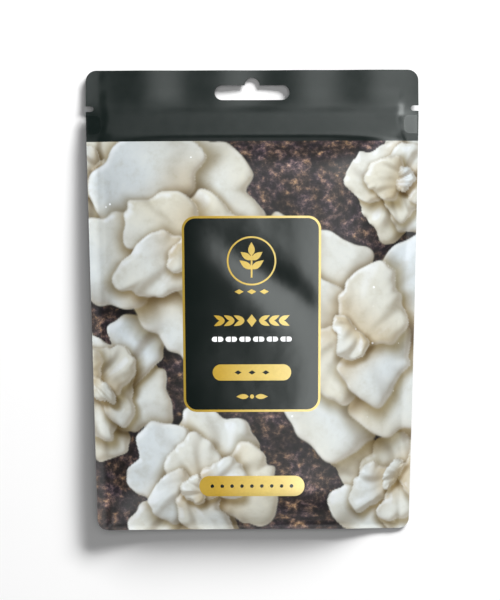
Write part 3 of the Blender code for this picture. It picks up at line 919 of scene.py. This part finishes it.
def gold_ink_with_sheen():
    """Gold ink with a painted sheen: deep on the left, pale on the right towards the light."""
    made, tree, where, shader = new_material("gold_ink_with_sheen", 0.34, metallic=0.25, gloss=0.2)
    parts = tree.nodes.new("ShaderNodeSeparateXYZ")
    tree.links.new(where, parts.inputs["Vector"])
    # Painted sheen: the gold's colour pales from left to right, towards the light.
    across = span(tree, parts.outputs["X"], -GOLD_SHEEN_HALF_WIDTH, GOLD_SHEEN_HALF_WIDTH)
    gold = ramp(tree, across, (
        (0.0, (0.34, 0.23, 0.030)), (0.25, (0.42, 0.27, 0.030)),
        (0.6, (0.60, 0.46, 0.14)), (0.85, (0.72, 0.58, 0.25)), (1.0, (0.68, 0.54, 0.20)),
    ))
    flecks = span(tree, noise(tree, where, 900.0), 0.35, 0.65, 0.97, 1.03)
    tree.links.new(mix(tree, 1.0, gold, flecks, "MULTIPLY"), shader.inputs["Base Color"])
    rough_spread(tree, where, shader, 0.30, 0.38)
    film_grain(tree, where, shader)
    return made


def white_ink():
    """The white of the small capsules on the label."""
    made, tree, where, shader = new_material("white_ink", 0.35)
    two_tone(tree, where, shader, 300.0, (0.84, 0.85, 0.86), (0.92, 0.92, 0.92))
    film_grain(tree, where, shader)
    return made


def picture_print():
    """Pale petals from the painted attributes, over a dark crumbly ground made of noise."""
    made, tree, where, shader = new_material("picture_print", 0.42, gloss=0.36)
    petals = node(tree, "ShaderNodeAttribute", attribute_name="petals")
    light = node(tree, "ShaderNodeAttribute", attribute_name="ground_light")
    crumbs = noise(tree, where, 300.0, 6.0, 0.70)
    ground = ramp(tree, crumbs, (
        (0.36, (0.006, 0.005, 0.005)), (0.49, (0.030, 0.022, 0.022)),
        (0.57, (0.095, 0.066, 0.056)), (0.66, (0.30, 0.20, 0.125)), (0.78, (0.58, 0.48, 0.36)),
    ))
    patches = span(tree, noise(tree, where, 75.0, 3.0), 0.35, 0.65, 0.35, 1.35)
    violet = ramp(tree, noise(tree, where, 160.0, 3.0), (
        (0.40, (1.0, 0.92, 0.80)), (0.62, (0.86, 0.84, 1.12)),
    ))
    ground = mix(tree, 1.0, ground, patches, "MULTIPLY")
    ground = mix(tree, 1.0, ground, violet, "MULTIPLY")
    ground = mix(tree, 1.0, ground, light.outputs["Color"], "MULTIPLY")
    mottle = ramp(tree, noise(tree, where, 190.0, 5.0, 0.62), (
        (0.30, (0.90, 0.88, 0.84)), (0.50, (1.0, 1.0, 1.0)), (0.72, (1.06, 1.05, 1.03)),
    ))
    flesh = mix(tree, 1.0, petals.outputs["Color"], mottle, "MULTIPLY")
    glints = node(tree, "ShaderNodeTexVoronoi", Scale=150.0)
    tree.links.new(where, glints.inputs["Vector"])
    spark = span(tree, glints.outputs["Distance"], 0.085, 0.05)
    where_wet = span(tree, noise(tree, where, 45.0, 2.0), 0.56, 0.66)
    wet = node(tree, "ShaderNodeMath", operation="MULTIPLY")
    tree.links.new(spark, wet.inputs[0])
    tree.links.new(where_wet, wet.inputs[1])
    flesh = mix(tree, wet.outputs["Value"], flesh, (0.85, 0.88, 0.92, 1.0))
    colour = mix(tree, petals.outputs["Alpha"], ground, flesh)
    tree.links.new(colour, shader.inputs["Base Color"])
    rough_spread(tree, where, shader, 0.38, 0.46)
    film_grain(tree, where, shader)
    return made


def capsule_shell():
    """The hard shells of the capsules inside."""
    made, tree, where, shader = new_material("capsule_shell", 0.24, coat=0.3)
    two_tone(tree, where, shader, 700.0, (0.74, 0.66, 0.50), (0.84, 0.78, 0.63), detail=4.0)
    film_grain(tree, where, shader)
    return made


def zip_plastic():
    """The pale plastic of the zip's two tracks."""
    made, tree, where, shader = new_material("zip_plastic", 0.40)
    two_tone(tree, where, shader, 500.0, (0.72, 0.73, 0.72), (0.80, 0.80, 0.79))
    film_grain(tree, where, shader)
    return made


MATERIALS = {
    "header": dark_film, "picture": picture_print, "gold": gold_ink_with_sheen, "label": label_ink,
    "white": white_ink, "pressed": pressed_film,
}


def add_petals(mesh, x, y):
    """Writes the painted picture to the mesh as a colour and a light attribute."""
    colour, cover, ground = paint_picture(x, y)
    petals = mesh.color_attributes.new("petals", "FLOAT_COLOR", "POINT")
    petals.data.foreach_set("color", np.column_stack([colour, cover]).astype(np.float32).ravel())
    light = mesh.color_attributes.new("ground_light", "FLOAT_COLOR", "POINT")
    grey = np.column_stack([ground, ground, ground, np.ones(len(x))])
    light.data.foreach_set("color", grey.astype(np.float32).ravel())


def print_line():
    """The line across the pouch where the print meets the dark header."""
    ends = float(half_width(PRINT_TOP))
    steps = round(2 * ends / EDGE_PITCH)
    return [(-ends + 2 * ends * i / steps, PRINT_TOP) for i in range(steps + 1)]


def rim_faces(edge, hole, count):
    """Triangles that join the front's edge and hang hole to the back's, count points further on."""
    faces = []
    start = 0
    for loop in (edge, hole):
        for i in range(len(loop)):
            a, b = start + i, start + (i + 1) % len(loop)
            if loop is edge:
                faces += [(a, count + a, count + b), (a, count + b, b)]
            else:
                faces += [(a, b, count + b), (a, count + b, count + a)]
        start += len(loop)
    return faces


def assign_materials(mesh, middle, shapes):
    """Gives each triangle of the front its material, and all others the header's."""
    slots = list(MATERIALS)
    for name in slots:
        mesh.materials.append(MATERIALS[name]())
    front = np.where(middle[:, 1] < PRINT_TOP, slots.index("picture"), slots.index("header"))
    for loop, name in shapes:
        front[inside(middle[:, 0], middle[:, 1], loop)] = slots.index(name)
    rest = np.full(len(mesh.polygons) - len(front), slots.index("header"))
    mesh.polygons.foreach_set("material_index", np.concatenate([front, rest]).astype(np.int32))


def make_envelope():
    """Both films as one closed skin: a fine front, a plainer back and their common edge."""
    edge, hole = outline(), hang_hole()
    shapes = label_shapes() + pad_shapes()
    loops = [edge, hole] + [loop for loop, _ in shapes]
    fields = ((BOTTOM, PRINT_TOP, PRINT_PITCH), (PRINT_TOP, TOP, HEADER_PITCH))
    front, front_faces = triangulate(loops, [print_line(), *seal_lines()], fields)
    back, back_faces = triangulate([edge, hole], [], ((BOTTOM, TOP, BACK_PITCH),))
    points = np.concatenate([
        np.column_stack([front, front_height(front[:, 0], front[:, 1])]),
        np.column_stack([back, back_height(back[:, 0], back[:, 1])]),
    ])
    rim = np.array(rim_faces(edge, hole, len(front)))
    faces = np.concatenate([front_faces, back_faces[:, ::-1] + len(front), rim])
    mesh = bpy.data.meshes.new("pouch_film")
    mesh.from_pydata(points.tolist(), [], faces.tolist())
    assign_materials(mesh, front[front_faces].mean(axis=1), shapes)
    mesh.shade_smooth()
    mesh.set_sharp_from_angle(angle=math.radians(SHARP_FROM))
    add_petals(mesh, points[:, 0], points[:, 1])
    film = bpy.data.objects.new("pouch_film", mesh)
    bpy.context.scene.collection.objects.link(film)
    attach(film, "root")
    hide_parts("front_film", "back_film")
    return film


def dress_inner_nodes():
    """Materials for the capsules and the zip, which stay as they are in the solids."""
    shell, plastic = capsule_shell(), zip_plastic()
    for name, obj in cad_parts.items():
        if name.startswith("capsules"):
            obj.data.materials.clear()
            obj.data.materials.append(shell)
        elif name.startswith("zip"):
            obj.data.materials.clear()
            obj.data.materials.append(plastic)


def make_floor():
    """A pale sheet of paper under the pouch."""
    made, tree, where, shader = new_material("floor_paper", 0.9)
    two_tone(tree, where, shader, 8.0, (0.94, 0.94, 0.94), (0.96, 0.96, 0.96))
    mesh = bpy.data.meshes.new("floor")
    size = FLOOR_HALF_SIZE
    corners = [(-size, -size, 0), (size, -size, 0), (size, size, 0), (-size, size, 0)]
    mesh.from_pydata(corners, [], [(0, 1, 2, 3)])
    mesh.materials.append(made)
    floor = bpy.data.objects.new("floor", mesh)
    floor.location.z = -FLOOR_DROP
    bpy.context.scene.collection.objects.link(floor)
    return floor


def receivers(name, objects):
    """A group that a light can be kept to."""
    group = bpy.data.collections.new(name)
    for obj in objects:
        group.objects.link(obj)
    return group


def area_light(name, place, size, power, only, looks_down):
    """A rectangular light on one group alone. It looks straight down, or at the origin."""
    light = bpy.data.lights.new(name, "AREA")
    light.shape = "RECTANGLE"
    light.size, light.size_y = size
    light.energy = power
    obj = bpy.data.objects.new(name, light)
    obj.location = place
    if not looks_down:
        obj.rotation_euler = Vector(place).to_track_quat("Z", "Y").to_euler()
    obj.light_linking.receiver_collection = only
    bpy.context.scene.collection.objects.link(obj)


def make_world():
    """A dim even room that looks white to the camera."""
    world = bpy.data.worlds.new("room")
    world.use_nodes = True
    tree = world.node_tree
    room = tree.nodes["Background"]
    room.inputs["Color"].default_value = (1.0, 1.0, 1.0, 1.0)
    room.inputs["Strength"].default_value = ROOM_LIGHT
    seen = node(tree, "ShaderNodeBackground", Strength=SEEN_LIGHT)
    seen.inputs["Color"].default_value = (1.0, 1.0, 1.0, 1.0)
    either = tree.nodes.new("ShaderNodeMixShader")
    path = tree.nodes.new("ShaderNodeLightPath")
    tree.links.new(path.outputs["Is Camera Ray"], either.inputs["Fac"])
    tree.links.new(room.outputs["Background"], either.inputs[1])
    tree.links.new(seen.outputs["Background"], either.inputs[2])
    tree.links.new(either.outputs["Shader"], tree.nodes["World Output"].inputs["Surface"])
    bpy.context.scene.world = world
    bpy.context.scene.view_settings.view_transform = "Standard"


def make_lights(film, floor):
    """A softbox over the right half, a key from the upper right and a fill from the lower left.

    The floor has its own key and fill, so that the shadow is long while the swell stays even.
    """
    groups = {
        "pouch": receivers("pouch_receivers", [film, *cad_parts.values()]),
        "floor": receivers("floor_receivers", [floor]),
    }
    for name, (place, size, power, lit, looks_down) in LIGHTS.items():
        area_light(name, place, size, power, groups[lit], looks_down)


def make_camera():
    """Straight down, from where the frame at the seam's height is FRAME_HEIGHT high."""
    camera = bpy.data.cameras.new("camera")
    camera.lens = LENS
    camera.sensor_width = SENSOR
    camera.sensor_fit = "AUTO"
    obj = bpy.data.objects.new("camera", camera)
    away = LENS * FRAME_HEIGHT / SENSOR
    obj.location = (*CAMERA_OVER, SEAM_AT_ENDS + away)
    obj.rotation_euler.z = CAMERA_TURN
    bpy.context.scene.collection.objects.link(obj)
    bpy.context.scene.camera = obj


make_camera()
dress_inner_nodes()
make_lights(make_envelope(), make_floor())
make_world()
